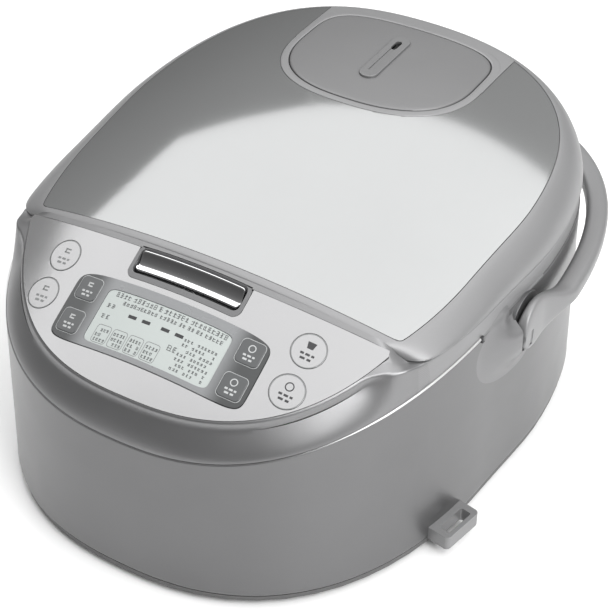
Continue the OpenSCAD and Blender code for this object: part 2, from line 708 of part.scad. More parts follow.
// Two knuckles that turn on the hinge pin, one each side of the spring
module lid_barrel() color("gray") placed() at_hinge() mirrored() difference() {
  union() {
    rod_x(barrel_r, 21.5, hinge_half);
    block([24, 2, 6], [42, lid_tail - wall, 15]);
  }
  rod_x(pin_r + run_fit, 20, 80);
}

module lid_keeper() color("silver") placed()
  block([-8, -76.3, lid_z + 2], [8, -74.8, 131]);

module inner_lid() color("lightgray") placed() at_pot() difference() {
  rotate_extrude() polygon([[0, 128], [80, 128], [84, 125.4], [96.5, 125.4], [96.5, 126.6],
    [84.6, 126.6], [80.6, 129.2], [0, 129.2]]);
  translate([0, cap_y - pot_y, 0]) disc(8, 120, 140);
  disc(5.3, 120, 135);
}

module lid_gasket() color("#e8e8e8") placed() at_pot() ring(89, 96, 122.7, 125.4);

module lid_sensor() color("silver") placed() at_pot() {
  disc(5, 127, 137);
  disc(8, 137, 141);
}

module lid_screws() color("gainsboro") placed()
  for (x = [-104, 104], y = [-40, 60]) translate([x, y, 0]) {
    disc(3, lid_z + 0.1, lid_z + 1.2);
    disc(1.5, lid_z + 1.2, lid_z + 9);
  }

// ---- Keys as separate nodes ----
module key_round_1() key(0, true);
module key_round_2() key(1, true);
module key_round_3() key(2, true);
module key_round_4() key(3, true);
module key_square_1() key(0, false);
module key_square_2() key(1, false);
module key_square_3() key(2, false);
module key_square_4() key(3, false);

// ---- Drawing ----
outer_casing();
base_plate();
rubber_feet();
base_screws();
upper_frame();
fascia_panel();
lcd_bezel();
lcd_window();
lcd_module();
control_board();
tact_switches();
power_board();
power_components();
inner_container();
heating_plate();
heater_element();
heater_posts();
side_heater();
insulation_wrap();
thermal_fuse();
power_inlet();
inlet_pins();
wiring();
hinge_bracket();
hinge_pin();
hinge_spring();
hinge_cover();
button_pocket();
handle_pivots();
spoon_bracket();
sensor_guide();
lid_cover();
lid_panel();
lid_liner();
lid_barrel();
lid_keeper();
inner_lid();
lid_gasket();
lid_sensor();
lid_screws();
steam_socket();
steam_cap();
steam_cup();
steam_gasket();
handle_bail();
release_button();
latch_hook();
key_round_1();
key_round_2();
key_round_3();
key_round_4();
key_square_1();
key_square_2();
key_square_3();
key_square_4();
sensor_cap();
sensor_spring();
inner_pot();
button_spring();
latch_bracket();
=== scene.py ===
"""A rice cooker's looks: smooth skins, materials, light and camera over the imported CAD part."""
import json
import math
import bmesh
import bpy
import numpy as np
from mathutils import Matrix, Vector


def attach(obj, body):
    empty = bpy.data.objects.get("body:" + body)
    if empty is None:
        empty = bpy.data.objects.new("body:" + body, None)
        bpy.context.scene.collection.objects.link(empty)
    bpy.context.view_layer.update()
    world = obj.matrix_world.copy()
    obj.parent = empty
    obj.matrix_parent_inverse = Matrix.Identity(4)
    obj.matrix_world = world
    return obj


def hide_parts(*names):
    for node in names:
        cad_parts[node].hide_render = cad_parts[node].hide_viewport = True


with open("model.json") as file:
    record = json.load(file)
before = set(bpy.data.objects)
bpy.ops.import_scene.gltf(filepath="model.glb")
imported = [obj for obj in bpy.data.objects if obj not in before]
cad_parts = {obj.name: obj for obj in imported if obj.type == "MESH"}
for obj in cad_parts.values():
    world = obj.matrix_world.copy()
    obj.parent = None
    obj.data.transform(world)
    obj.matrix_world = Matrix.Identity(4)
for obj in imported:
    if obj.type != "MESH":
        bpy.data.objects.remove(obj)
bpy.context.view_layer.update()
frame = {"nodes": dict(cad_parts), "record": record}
NODES = frame["nodes"]

# The part's own dimensions, in millimetres. y counts from the body's widest section, and the
# row frame's y is y + MID.
MM = 0.001
MID = -11.36
HALF_W, FRONT, REAR = 128.0, 164.0, 155.0
FLARE, SWELL, WALL = 1.02, 3.5, 2.4
BASE_Z, DECK_Z, FOOT_H = 6.5, 124.6, 3.5
SEAM_Y, SEAM_Z, SEAM_BOW, SLOPE = -87.6, 145.5, 9.2, 0.548
LID_Z, SHOULDER = 125.4, 13.0
CROWN, RISE, FALL = 13.84e-4, 0.206, 5.31e-4
FASCIA, FILM = 10.0, 1.2
POT_Y, OPENING = 24.0, 98.0
HINGE_Y, HINGE_Z = 143.5, 124.0
PIVOT_Y, PIVOT_Z, HANDLE_X, REACH, EYE_R = 8.0, 98.0, 146.4, 182.0, 14.0
CAP_Y, CAP_W, CAP_F, CAP_R, RIM = 97.0, 58.0, 51.0, 40.0, 5.0
HINGE_X, KNUCKLE = 64.0, 7.5
BUTTON_Y, SLOT_Y, TONGUE_Y = -96.0, 108, 95
FRAME_MID, LID_MID, CAP_MID = np.array([0, -20]), np.array([0, 20]), np.array([0, CAP_Y])
TILT = math.atan(SLOPE)
# Directions round the body, closer together at the lid's front corners
CORNER = np.concatenate([np.arange(-40.5, -31, 0.25), np.arange(-148.75, -139, 0.25)]) % 360
TURNS = np.radians(np.unique(np.round(np.concatenate([np.arange(0, 360, 1.25), CORNER]), 3)))


# ---- Outlines and surfaces, the same as the CAD part's ----
def spow(v, p):
    return np.sign(v) * np.abs(v) ** p


def smooth(a, b, v):
    s = np.clip((np.asarray(v, float) - a) / (b - a), 0, 1)
    return s * s * (3 - 2 * s)


def angles(n=0):
    return np.arange(n) * 2 * math.pi / n if n else TURNS


def swelled(x, y):
    return np.stack([x * (1 + SWELL / HALF_W * smooth(-25, 40, y)), y], 1)


def edge_r(t, inset=0.0, flare=1.0):
    n = np.where(np.sin(t) < 0, 2.4, 3.07)
    a = HALF_W * flare - inset
    b = np.where(np.sin(t) < 0, FRONT, REAR) * flare - inset
    return (np.abs(np.cos(t) / a) ** n + np.abs(np.sin(t) / b) ** n) ** (-1 / n)


def edge(inset=0.0, flare=1.0, t=None):
    t = angles() if t is None else t
    r = edge_r(t, inset, flare)
    return swelled(r * np.cos(t), r * np.sin(t))


def seam_at(x):
    return SEAM_Y + SEAM_BOW * (np.asarray(x) / HALF_W) ** 2


def seam_r(t, gap):
    """How far the lid's front seam is along each direction; none at the sides and back."""
    d, k = -(SEAM_Y + gap), SEAM_BOW / HALF_W ** 2 * np.cos(t) ** 2
    share = -np.sin(t) + np.sqrt(np.sin(t) ** 2 + 4 * k * d)
    return np.where(np.sin(t) > -0.2, 1e6, 2 * d / np.maximum(share, 1e-9))


def lid_edge(inset, gap, p=26):
    t = angles()
    a, b = edge_r(t, inset), seam_r(t, gap)
    m = np.minimum(a, b)
    r = m * ((a / m) ** -p + (b / m) ** -p) ** (-1 / p)
    return swelled(r * np.cos(t), r * np.sin(t))


def front_share():
    t = angles()
    return 1 / (1 + np.minimum(seam_r(t, 0) / edge_r(t), 5) ** 30)


def panel_top(x, y):
    return SEAM_Z + SLOPE * (y - SEAM_Y) - CROWN * x * x


def lid_top(x, y):
    d = y - SEAM_Y
    return SEAM_Z + RISE * d - FALL * d * d - CROWN * x * x


def parting(y):
    return 114 - 1.1e-3 * np.maximum(0, -15 - y) ** 2


def oval(a, front, rear, nf, nr, y0, n=192):
    t = angles(n)
    e = np.where(np.sin(t) < 0, nf, nr)
    return np.stack([a * spow(np.cos(t), 2 / e),
                     y0 + np.where(np.sin(t) < 0, front, rear) * spow(np.sin(t), 2 / e)], 1)


def shrunk(ring, middle, s):
    return middle + s * (ring - middle)


def at(points, z):
    """A ring at height z: a number, or one number per point."""
    points = np.asarray(points, float)
    return np.column_stack([points, np.broadcast_to(z, len(points))])


# ---- Meshes ----
def piece(name, bm, body, replaced=(), sharp=35, material=None):
    bmesh.ops.recalc_face_normals(bm, faces=bm.faces)
    mesh = bpy.data.meshes.new(name)
    limit = math.radians(sharp)
    for f in bm.faces:
        f.smooth = True
    for e in bm.edges:
        if len(e.link_faces) == 2 and e.calc_face_angle(0) > limit:
            e.smooth = False
    bm.to_mesh(mesh)
    bm.free()
    o = bpy.data.objects.new(name, mesh)
    bpy.context.scene.collection.objects.link(o)
    if material:
        mesh.materials.append(material)
    even = o.modifiers.new("even", "WEIGHTED_NORMAL")
    even.mode, even.weight, even.keep_sharp = "FACE_AREA", 100, True
    if body:
        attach(o, body)
    if replaced:
        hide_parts(*replaced)
    return o


def vert(bm, p):
    return bm.verts.new((p[0] * MM, (p[1] + MID) * MM, p[2] * MM))


def loft(rings, closed=False, caps=(True, True)):
    """A skin through rings of equal count; closed joins the last ring to the first."""
    bm = bmesh.new()
    rows = [[vert(bm, p) for p in r] for r in rings]
    n = len(rows[0])
    pairs = list(zip(rows, rows[1:])) + ([(rows[-1], rows[0])] if closed else [])
    for a, b in pairs:
        for i in range(n):
            j = (i + 1) % n
            bm.faces.new((a[i], a[j], b[j], b[i]))
    if not closed:
        for r, wanted in ((rows[0], caps[0]), (rows[-1], caps[1])):
            if wanted:
                bm.faces.new(r)
    return bm


def dome(rings, first, last):
    """A closed skin through rings with a point at each end."""
    bm = loft(rings, caps=(False, False))
    bm.verts.ensure_lookup_table()
    n, m = len(rings[0]), len(rings)
    for point, row in ((first, 0), (last, m - 1)):
        pole = vert(bm, point)
        bm.verts.ensure_lookup_table()
        for i in range(n):
            bm.faces.new((pole, bm.verts[row * n + i], bm.verts[row * n + (i + 1) % n]))
    return bm


def slab(outline, low, high, step=5.0):
    """A sheet with this outline between two surfaces low(x, y) and high(x, y)."""
    bm = bmesh.new()
    bm.faces.new([bm.verts.new((p[0], p[1], 0)) for p in outline])
    pts = np.asarray(outline)
    for axis in (0, 1):
        a, b = pts[:, axis].min(), pts[:, axis].max()
        for c in np.arange(math.ceil(a / step) * step, b, step):
            co, no = [0, 0, 0], [0, 0, 0]
            co[axis], no[axis] = c, 1
            bmesh.ops.bisect_plane(bm, geom=bm.verts[:] + bm.edges[:] + bm.faces[:], dist=1e-5,
                                   plane_co=co, plane_no=no)
    bm.verts.index_update()
    flat = [(v.co.x, v.co.y) for v in bm.verts]
    faces = [[v.index for v in f.verts] for f in bm.faces]
    rim = [(e.verts[0].index, e.verts[1].index) for e in bm.edges if e.is_boundary]
    bm.free()
    out = bmesh.new()
    up = [vert(out, (x, y, float(high(x, y)))) for x, y in flat]
    down = [vert(out, (x, y, float(low(x, y)))) for x, y in flat]
    for f in faces:
        out.faces.new([up[k] for k in f])
        out.faces.new([down[k] for k in reversed(f)])
    for a, b in rim:
        out.faces.new((up[a], up[b], down[b], down[a]))
    return out


def rounded(bm, width, steps=2, angle=40):
    """Rounds the crisp edges of a mesh by width millimetres."""
    bm.normal_update()
    crisp = [e for e in bm.edges
             if len(e.link_faces) == 2 and e.calc_face_angle(0) > math.radians(angle)]
    bmesh.ops.bevel(bm, geom=crisp, offset=width * MM, segments=steps, affect="EDGES",
                    profile=0.5, clamp_overlap=True)
    return bm


def prism(outline, z0, z1):
    return loft([at(outline, z0), at(outline, z1)])


def block(lo, hi):
    x0, y0, x1, y1 = lo[0], lo[1], hi[0], hi[1]
    return prism([(x0, y0), (x1, y0), (x1, y1), (x0, y1)], lo[2], hi[2])


def round_rect(w, d, r, steps=6, x0=0.0, y0=0.0):
    pts = []
    for sx, sy, a0 in ((1, 1, 0), (-1, 1, 90), (-1, -1, 180), (1, -1, 270)):
        for k in range(steps + 1):
            a = math.radians(a0 + 90 * k / steps)
            pts.append((x0 + sx * (w / 2 - r) + r * math.cos(a),
                        y0 + sy * (d / 2 - r) + r * math.sin(a)))
    return np.array(pts)


def lathe(profile, x, y):
    """Turns (radius, z) points about the vertical through x, y."""
    t = angles(96)
    return loft([np.column_stack([x + r * np.cos(t), y + r * np.sin(t), np.full(len(t), z)])
                 for r, z in profile], closed=True)


def moved(bm, matrix):
    bm.transform(matrix)
    return bm


def merged(*parts):
    """Several meshes in one, side by side."""
    out = bmesh.new()
    for b in parts:
        tmp = bpy.data.meshes.new("tmp")
        b.to_mesh(tmp)
        b.free()
        out.from_mesh(tmp)
        bpy.data.meshes.remove(tmp)
    return out


def carve(bm, *tools):
    """bm changed by (operation, mesh) pairs, with exact booleans."""
    def hold(b):
        bmesh.ops.recalc_face_normals(b, faces=b.faces)
        mesh = bpy.data.meshes.new("tool")
        b.to_mesh(mesh)
        b.free()
        o = bpy.data.objects.new("tool", mesh)
        bpy.context.scene.collection.objects.link(o)
        return o
    target, made = hold(bm), []
    for operation, tool in tools:
        t = hold(tool)
        made.append(t)
        m = target.modifiers.new("cut", "BOOLEAN")
        m.operation, m.object, m.solver = operation, t, "EXACT"
    depsgraph = bpy.context.evaluated_depsgraph_get()
    result = target.evaluated_get(depsgraph).to_mesh()
    out = bmesh.new()
    out.from_mesh(result)
    for o in [target] + made:
        mesh = o.data
        bpy.data.objects.remove(o)
        bpy.data.meshes.remove(mesh)
    bmesh.ops.remove_doubles(out, verts=out.verts, dist=1e-6)
    bmesh.ops.dissolve_degenerate(out, edges=out.edges, dist=1e-7)
    return out


def cut(bm, *tools):
    """bm with every tool taken away."""
    return carve(bm, *[("DIFFERENCE", tool) for tool in tools])


# ---- Materials ----
def material(name, colour, rough, metal=0.0, grain=900.0, bump=0.02, tint=0.06, vary=0.08,
             coat=0.0, coat_rough=0.1, stretch=(1, 1, 1), cloud=18.0, second=None):
    """A moulded, painted or metal surface: fine grain, slow colour drift, uneven gloss.

    second = (axis, a, b, tone) turns the colour to tone between a and b mm off the middle.
    """
    m = bpy.data.materials.new(name)
    m.use_nodes = True
    nt = m.node_tree
    nt.nodes.clear()
    out = nt.nodes.new("ShaderNodeOutputMaterial")
    bsdf = nt.nodes.new("ShaderNodeBsdfPrincipled")
    nt.links.new(bsdf.outputs[0], out.inputs[0])
    bsdf.inputs["Metallic"].default_value = metal
    bsdf.inputs["IOR"].default_value = 1.5
    bsdf.inputs["Specular IOR Level"].default_value = 0.5
    bsdf.inputs["Coat Weight"].default_value = coat
    bsdf.inputs["Coat Roughness"].default_value = coat_rough
    where = nt.nodes.new("ShaderNodeTexCoord")
    scaled = nt.nodes.new("ShaderNodeMapping")
    scaled.inputs["Scale"].default_value = stretch
    nt.links.new(where.outputs["Object"], scaled.inputs["Vector"])

    def noise(scale, detail, source):
        n = nt.nodes.new("ShaderNodeTexNoise")
        n.inputs["Scale"].default_value = scale
        n.inputs["Detail"].default_value = detail
        nt.links.new(source, n.inputs["Vector"])
        return n.outputs["Fac"]

    fine = noise(grain, 3, scaled.outputs[0])
    slow = noise(cloud, 2, where.outputs["Object"])
    mix = nt.nodes.new("ShaderNodeMix")
    mix.data_type = "RGBA"
    dark = [c * (1 - tint) for c in colour]
    light = [min(1, c * (1 + tint)) for c in colour]
    mix.inputs[6].default_value = (*dark, 1)
    mix.inputs[7].default_value = (*light, 1)
    blend = nt.nodes.new("ShaderNodeMath")
    blend.operation = "MULTIPLY_ADD"
    nt.links.new(fine, blend.inputs[0])
    blend.inputs[1].default_value = 0.6
    shift = nt.nodes.new("ShaderNodeMath")
    shift.operation = "MULTIPLY_ADD"
    nt.links.new(slow, shift.inputs[0])
    shift.inputs[1].default_value = 0.8
    shift.inputs[2].default_value = -0.2
    nt.links.new(shift.outputs[0], blend.inputs[2])
    nt.links.new(blend.outputs[0], mix.inputs[0])
    colour_out = mix.outputs[2]
    if second is not None:
        axis, a, b, tone = second
        split = nt.nodes.new("ShaderNodeSeparateXYZ")
        nt.links.new(where.outputs["Object"], split.inputs[0])
        size = nt.nodes.new("ShaderNodeMath")
        size.operation = "ABSOLUTE"
        nt.links.new(split.outputs[axis], size.inputs[0])
        ramp = nt.nodes.new("ShaderNodeMapRange")
        ramp.interpolation_type = "SMOOTHSTEP"
        ramp.inputs["From Min"].default_value = a * MM
        ramp.inputs["From Max"].default_value = b * MM
        nt.links.new(size.outputs[0], ramp.inputs["Value"])
        both = nt.nodes.new("ShaderNodeMix")
        both.data_type = "RGBA"
        nt.links.new(ramp.outputs[0], both.inputs[0])
        nt.links.new(colour_out, both.inputs[6])
        both.inputs[7].default_value = (*tone, 1)
        colour_out = both.outputs[2]
    nt.links.new(colour_out, bsdf.inputs["Base Color"])
    spread = nt.nodes.new("ShaderNodeMapRange")
    spread.inputs["To Min"].default_value = max(0.02, rough - vary / 2)
    spread.inputs["To Max"].default_value = rough + vary / 2
    nt.links.new(noise(cloud * 3, 4, scaled.outputs[0]), spread.inputs["Value"])
    nt.links.new(spread.outputs[0], bsdf.inputs["Roughness"])
    if bump:
        lift = nt.nodes.new("ShaderNodeBump")
        lift.inputs["Strength"].default_value = bump
        lift.inputs["Distance"].default_value = 0.0002
        nt.links.new(fine, lift.inputs["Height"])
        nt.links.new(lift.outputs[0], bsdf.inputs["Normal"])
    return m


SILVER = material("silver_paint", (0.155, 0.155, 0.157), 0.34, metal=0.74, grain=2600, bump=0.05,
                  tint=0.10, vary=0.06, coat=0.12, coat_rough=0.25)
GREY = material("grey_plastic", (0.235, 0.235, 0.238), 0.40, metal=0.35, grain=2200, bump=0.06,
                tint=0.06, vary=0.08)
POD = material("pod_paint", (0.20, 0.20, 0.203), 0.38, metal=0.5, grain=2400, bump=0.05,
               tint=0.06, vary=0.06)
# A darker, more metallic copy of the grey plastic for the frame's nose, which is the same part as
# the deck: painted shade for its front band
SHADED_NOSE_GREY = material("nose_grey_painted_shade", (0.22, 0.22, 0.223), 0.36, metal=0.75, grain=2200, bump=0.06,
                tint=0.06, vary=0.08)
CAP = material("cap_plastic", (0.18, 0.18, 0.182), 0.40, metal=0.4, grain=2200, bump=0.06,
               tint=0.06)
BASE = material("base_plastic", (0.10, 0.10, 0.10), 0.5, grain=1500, bump=0.12)
FILM_M = material("silver_film", (0.325, 0.325, 0.328), 0.15, metal=0.9, grain=3000, bump=0.02,
                  tint=0.04, vary=0.04, coat=0.15, coat_rough=0.06)
BEZEL = material("display_surround", (0.19, 0.195, 0.20), 0.28, metal=0.2, grain=2500,
                 bump=0.03, coat=0.4, coat_rough=0.08,
                 second=(0, 33, 46, (0.03, 0.032, 0.033)))
KEY_DARK = material("dark_keys", (0.05, 0.053, 0.055), 0.3, grain=2500, bump=0.03, coat=0.4,
                    coat_rough=0.1)
PRINT_LIGHT = material("light_print", (0.42, 0.43, 0.43), 0.4, grain=3000, bump=0.02)
PRINT_DARK = material("dark_print", (0.03, 0.03, 0.032), 0.6, grain=3000, bump=0.02)
PRINT_MID = material("mid_print", (0.17, 0.175, 0.175), 0.45, grain=3000, bump=0.02)
PRINT_MARK = material("fine_print", (0.10, 0.105, 0.105), 0.45, grain=3000, bump=0.02)
DISPLAY = material("display_face", (0.40, 0.43, 0.418), 0.35, grain=1200, bump=0.0, tint=0.02)
# Light, metallic grey for the bead: a painted highlight where the casing's lip catches the light
HIGHLIGHT_BEAD = material("painted_highlight_bead", (0.62, 0.62, 0.62), 0.3, metal=0.7, grain=2200, bump=0.03)
LIP = material("pocket_lip", (0.15, 0.15, 0.153), 0.36, metal=0.6, grain=2200, bump=0.05)
LID_METAL = material("lid_sheet", (0.33, 0.335, 0.335), 0.09, metal=0.9, grain=1400, bump=0.006,
                     tint=0.03, vary=0.02, stretch=(1, 0.06, 1), coat=0.1, coat_rough=0.04)
CHROME = material("chrome", (0.86, 0.86, 0.87), 0.07, metal=1.0, grain=800, bump=0.0,
                  tint=0.02, vary=0.03)
POCKET = material("pocket_plastic", (0.055, 0.055, 0.057), 0.4, grain=1800, bump=0.06)
DARK = material("dark_plastic", (0.035, 0.035, 0.037), 0.45, grain=1600, bump=0.10)
RUBBER = material("rubber", (0.022, 0.022, 0.022), 0.75, grain=1200, bump=0.25, vary=0.15)
SILICONE = material("silicone", (0.62, 0.62, 0.60), 0.55, grain=1500, bump=0.08)
STEEL = material("plated_steel", (0.60, 0.61, 0.62), 0.30, metal=1.0, grain=1300, bump=0.05,
                 stretch=(1, 1, 0.1), vary=0.12)
ALUMINIUM = material("cast_aluminium", (0.66, 0.66, 0.67), 0.38, metal=1.0, grain=900,
                     bump=0.12, vary=0.12)
COATING = material("pot_coating", (0.055, 0.055, 0.058), 0.36, metal=0.3, grain=700, bump=0.06,
                   tint=0.35, coat=0.2, coat_rough=0.2)
WHITE = material("white_plastic", (0.70, 0.70, 0.69), 0.4, grain=1500, bump=0.06)
BOARD = material("solder_mask", (0.02, 0.11, 0.04), 0.35, grain=500, bump=0.08, tint=0.25)
FELT = material("felt", (0.72, 0.70, 0.64), 0.95, grain=420, bump=0.6, tint=0.15)
TAPE = material("woven_tape", (0.45, 0.34, 0.18), 0.85, grain=500, bump=0.5, tint=0.2,
                stretch=(1, 1, 6))
CERAMIC = material("ceramic", (0.74, 0.70, 0.62), 0.5, grain=700, bump=0.12)
WIRE = material("wire_red", (0.34, 0.03, 0.02), 0.45, grain=900, bump=0.05)
BRASS = material("inlet_pins", (0.62, 0.48, 0.22), 0.25, metal=1.0, grain=900, bump=0.03)

BY_SLOT = {
    "silver_casing": SILVER, "grey_plastic": GREY, "cap_plastic": CAP, "base_plastic": BASE,
    "fascia_film": FILM_M, "bezel_grey": BEZEL, "display": DISPLAY, "white_plastic": WHITE,
    "lid_metal": LID_METAL, "bright_metal": CHROME, "dark_plastic": DARK, "board_green": BOARD,
    "rubber_dark": RUBBER, "silicone": SILICONE, "zinc_steel": STEEL,
    "cast_aluminium": ALUMINIUM, "pot_coating": COATING, "heater_wrap": TAPE,
    "insulation": FELT, "ceramic": CERAMIC, "wire_red": WIRE}
for sub in frame["record"]["subparts"]:
    o = NODES[sub["node"]]
    o.data.materials.clear()
    o.data.materials.append(BY_SLOT[sub["material_slot"]])
NODES["inlet_pins"].data.materials[0] = BRASS
NODES["lid_liner"].data.materials[0] = GREY
NODES["handle_pivots"].data.materials[0] = GREY
NODES["power_components"].data.materials[0] = DARK


# ---- Casing: a flared wall with a rounded foot and lip, and the pods round the pivots ----
GAP = 0.4       # between the casing's top and the frame
POD_X, POD_BACK = 138.4, 121.5


def casing_ring(inset, share):
    p, t = edge(inset, FLARE + (1 - FLARE) * share), angles()
    top = parting(edge_r(t) * np.sin(t)) - GAP
    return at(p, BASE_Z + (top - BASE_Z) * share)


def lifted(ring, dz):
    ring = np.array(ring)
    ring[:, 2] += dz
    return ring


rings = []
for k in range(5):
    a = math.radians(90 * k / 4)
    rings.append(lifted(casing_ring(2.2 * (1 - math.sin(a)), 0), 2.2 * (1 - math.cos(a))))
rings += [casing_ring(0, s) for s in np.linspace(0.05, 0.985, 16)]
rings += [lifted(casing_ring(0.7 * (1 - math.cos(a)), 1), -0.7 * (1 - math.sin(a)))
          for a in np.radians([0, 30, 60, 90])]
rings += [casing_ring(WALL, 1), casing_ring(WALL, 0.5), casing_ring(WALL, 0)]
casing = loft(rings, closed=True)


def tube_x(r, x0, x1, y, z, n=96):
    bm = bmesh.new()
    t = angles(n)
    rows = [[vert(bm, (x, y + r * math.cos(a), z + r * math.sin(a))) for a in t]
            for x in (x0, x1)]
    for i in range(n):
        j = (i + 1) % n
        bm.faces.new((rows[0][i], rows[0][j], rows[1][j], rows[1][i]))
    bm.faces.new(rows[0])
    bm.faces.new(rows[1])
    return bm


def rod_cut(r, x0, x1):
    return tube_x(r, x0, x1, HINGE_Y, HINGE_Z)


inlet_hole = block((-54.1, 140, 25.9), (-25.9, 160, 48.1))
casing = cut(casing, inlet_hole, tube_x(4.1, -150, 150, PIVOT_Y, PIVOT_Z),
             rod_cut(11.9, -HINGE_X - KNUCKLE, HINGE_X + KNUCKLE))
piece("casing_shell", casing, "main", ["outer_casing"], material=SILVER)


# The frame leans in by LEAN_F at the front, LEAN_S beside the lid and not at all at the back
LEAN_F, LEAN_S = 7.6, 1.0


def lean_at(y):
    return LEAN_F - (LEAN_F - LEAN_S) * smooth(-110, -86, y) - LEAN_S * smooth(-60, -20, y)


def pod_lift(y, z):
    """How far, from 0 to 1, the swelling in front of and below a pivot has grown."""
    dy, dz = y - PIVOT_Y, z - PIVOT_Z
    far = math.hypot(dy / (48 if dy < 0 else 22), dz / (25 if dz > 0 else 30))
    turn = math.degrees(math.atan2(dz, -dy))
    side_fade = smooth(70, 110, turn) if turn > 0 else smooth(60, 130, -turn)
    path = smooth(-18, -6, y) * smooth(102, 110, z)     # kept free for the raised strap
    return float((1 - smooth(0.2, 1.0, far)) ** 1.4 * (1 - side_fade) * (1 - path))


def wall_x(y, z):
    """Where the side wall is: the casing's, and above the parting the frame's."""
    low = float(parting(y))
    share = min((z - BASE_Z) / (low - GAP - BASE_Z), 1)
    fl = FLARE + (1 - FLARE) * share
    above = max(0.0, (z - low) / (DECK_Z + 4 - low))
    inset = (0.5 + lean_at(y) * above ** 2.2) * float(smooth(-0.6, 0.1, z - low))
    a, b, n = (HALF_W * fl - inset, (FRONT if y < 0 else REAR) * fl - inset,
               2.4 if y < 0 else 3.07)
    return a * (1 - (abs(y) / b) ** n) ** (1 / n) * (
        1 + SWELL / HALF_W * float(smooth(-25, 40, y)))


def pod(side):
    """The swelling grows out of the wall and ends in an arc round the handle's eye."""
    bm = bmesh.new()
    ys, zs = np.linspace(-46, 28, 75), np.linspace(66, 123.4, 60)
    grid, back = [], []
    for y in ys:
        wall = [wall_x(y, z) for z in zs]
        grid.append([vert(bm, (side * (w - 0.04 + (POD_X - w) * pod_lift(y, z)), y, z))
                     for w, z in zip(wall, zs)])
        back.append([vert(bm, (side * POD_BACK, y, z)) for z in zs])
    a, b = len(grid), len(grid[0])
    for i in range(a - 1):
        for j in range(b - 1):
            bm.faces.new((grid[i][j], grid[i + 1][j], grid[i + 1][j + 1], grid[i][j + 1]))
            bm.faces.new((back[i][j], back[i][j + 1], back[i + 1][j + 1], back[i + 1][j]))
    for i in range(a - 1):
        bm.faces.new((grid[i][0], back[i][0], back[i + 1][0], grid[i + 1][0]))
        bm.faces.new((grid[i][-1], grid[i + 1][-1], back[i + 1][-1], back[i][-1]))
    for j in range(b - 1):
        bm.faces.new((grid[0][j], grid[0][j + 1], back[0][j + 1], back[0][j]))
        bm.faces.new((grid[-1][j], back[-1][j], back[-1][j + 1], grid[-1][j + 1]))
    eye = tube_x(EYE_R + 1.1, 100 * side, 150 * side, PIVOT_Y, PIVOT_Z, 160)
    return cut(bm, eye)


for side, tag in ((1, "right"), (-1, "left")):
    piece("pivot_pod_" + tag, pod(side), "main", material=POD)
    pad = tube_x(EYE_R + 2, side * 124.5, side * 131.3, PIVOT_Y, PIVOT_Z, 128)
    pad = cut(pad, tube_x(4.1, side * 100, side * 150, PIVOT_Y, PIVOT_Z, 48))
    piece("pivot_pad_" + tag, rounded(pad, 0.5, 2, 50), "main",
          material=SILVER)

# Bright bead where the casing meets the frame, from the front corners to the pods: its light
# colour is a painted highlight, the casing's lip catching the light
for side, tag in ((1, "right"), (-1, "left")):
    turn = np.arcsin(np.linspace(-0.84, -0.262, 90))
    ring = edge(0.2, 1, turn)
    bead = []
    for (x, y), k in zip(ring, np.linspace(0, 1, len(ring))):
        r = 0.62 * float(smooth(0, 0.35, k)) + 0.02
        way = np.array([x, y]) / math.hypot(x, y)
        bead.append([(side * (x + way[0] * r * math.cos(a)), y + way[1] * r * math.cos(a),
                      float(parting(y)) - 0.15 + r * math.sin(a)) for a in angles(12)])
    piece("painted_highlight_bead_" + tag, loft(bead), "main", material=HIGHLIGHT_BEAD)
    # A small dark block at the bead's end: painted shade standing in for the shadow inside the
    # notch before the pod
    x, y = ring[-1]
    notch = moved(block((-0.9, -0.9, 111.4), (1.1, 0.9, 114.6)),
                  Matrix.Translation((side * x * MM, (y + 1.2) * MM, 0)))
    piece("notch_painted_shade_" + tag, rounded(notch, 0.3, 2, 50), "main",
          material=DARK)

# ---- Base: a dark rim that steps in under the casing ----
rim = [at(edge(i, FLARE), z) for i, z in
       ((12, FOOT_H + 0.02), (3.2, FOOT_H + 0.02), (1.6, FOOT_H + 0.5), (0.95, FOOT_H + 1.4),
        (0.8, BASE_Z - 0.05), (12, BASE_Z - 0.05))]
piece("base_rim", loft(rim, closed=True), "main", material=BASE)

# ---- Upper frame: leaning nose with a rounded rim, side strip and deck ----
def frame_rings(inset, top, r):
    t = angles()
    y0 = edge_r(t) * np.sin(t)
    low, lean, p0 = parting(y0), lean_at(y0), edge(inset, 1, t)
    full = np.minimum(panel_top(p0[:, 0], p0[:, 1]) + 0.6, DECK_Z + 4)
    power = 1.3 + 0.9 * smooth(-108, -84, y0)

    def level(z_of, extra=0.0):
        p = p0
        for _ in range(3):
            z = z_of(p)
            f = np.clip((z - low) / (full - low), 0, 1.1)
            p = edge_at(t, inset + lean * f ** power + extra)
        return at(p, z)

    out = [level(lambda p, g=g: low + (top(p[:, 0], p[:, 1]) - r - low) * g)
           for g in np.linspace(0, 1, 14)]
    for a in np.radians([22.5, 45, 67.5, 90]):
        out.append(level(lambda p: top(p[:, 0], p[:, 1]) - r * (1 - math.sin(a)),
                         r * (1 - math.cos(a))))
    rim = out[-1][:, :2]
    for s in (0.97, 0.93, 0.85, 0.7, 0.5, 0.25):
        p = shrunk(rim, FRAME_MID, s)
        out.append(at(p, top(p[:, 0], p[:, 1])))
    return out


def edge_at(t, inset):
    r = edge_r(t, inset)
    return swelled(r * np.cos(t), r * np.sin(t))


def nose_top(x, y):
    """The panel's surface, falling to the deck outside the lid's front corners."""
    level = panel_top(x, np.minimum(y, -60))
    fall = smooth(-16, 2, y - seam_at(x)) * smooth(99, 111, np.abs(x))
    return level - fall * np.maximum(level - DECK_Z - 0.4, 0)


def deck_top(x, y):
    return np.full(np.shape(x), DECK_Z)


